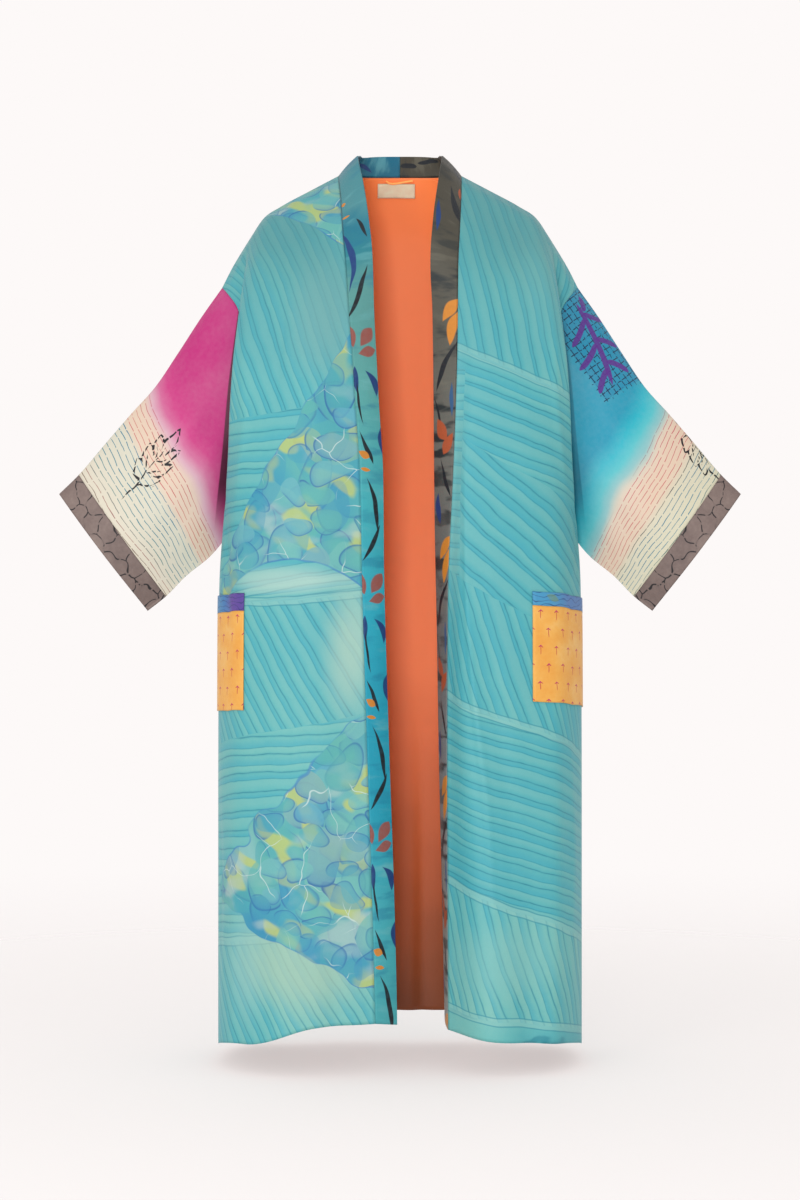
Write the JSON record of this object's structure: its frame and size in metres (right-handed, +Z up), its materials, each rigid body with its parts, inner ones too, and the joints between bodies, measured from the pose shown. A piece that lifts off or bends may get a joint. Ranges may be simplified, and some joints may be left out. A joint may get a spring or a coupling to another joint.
{
  "type": "kimono robe",
  "caption": "Long open-front kimono robe of pieced painted silk, lined back, wide sleeves with cuffs, neck band and side pockets, hollow as worn.",
  "frame": {"origin": "middle of the neck opening, level with the neck ends of the two shoulder seams, where the wearer's shoulders hold the robe", "axes": "+Z up along the robe's length, -Y out of its open front, +X to the wearer's left"},
  "size_m": [0.916, 0.2793, 1.2097],
  "materials": {
    "turquoise_silk": "hand-painted silk, soft sheen",
    "orange_lining": "plain lining silk, soft sheen",
    "teal_band_silk": "hand-painted silk, soft sheen",
    "grey_band_silk": "hand-painted silk, soft sheen",
    "pink_sleeve_silk": "dip-dyed silk, soft sheen",
    "blue_sleeve_silk": "dip-dyed silk, soft sheen",
    "taupe_cuff_silk": "printed silk, matt",
    "yellow_pocket_silk": "printed silk, soft sheen",
    "blue_trim_silk": "painted silk, soft sheen",
    "label_tape": "woven tape, matt"
  },
  "bodies": {
    "root": {"back": "turquoise_silk", "back_lining": "orange_lining", "front_right": "turquoise_silk", "front_left": "turquoise_silk", "band_right": "teal_band_silk", "band_left": "grey_band_silk", "sleeve_right": "pink_sleeve_silk", "sleeve_left": "blue_sleeve_silk", "cuff_right": "taupe_cuff_silk", "cuff_left": "taupe_cuff_silk", "pocket_right": "yellow_pocket_silk", "pocket_left": "yellow_pocket_silk", "pocket_trim_right": "blue_trim_silk", "pocket_trim_left": "blue_trim_silk", "neck_label": "label_tape", "hanging_loop": "orange_lining"}
  },
  "joints": []
}
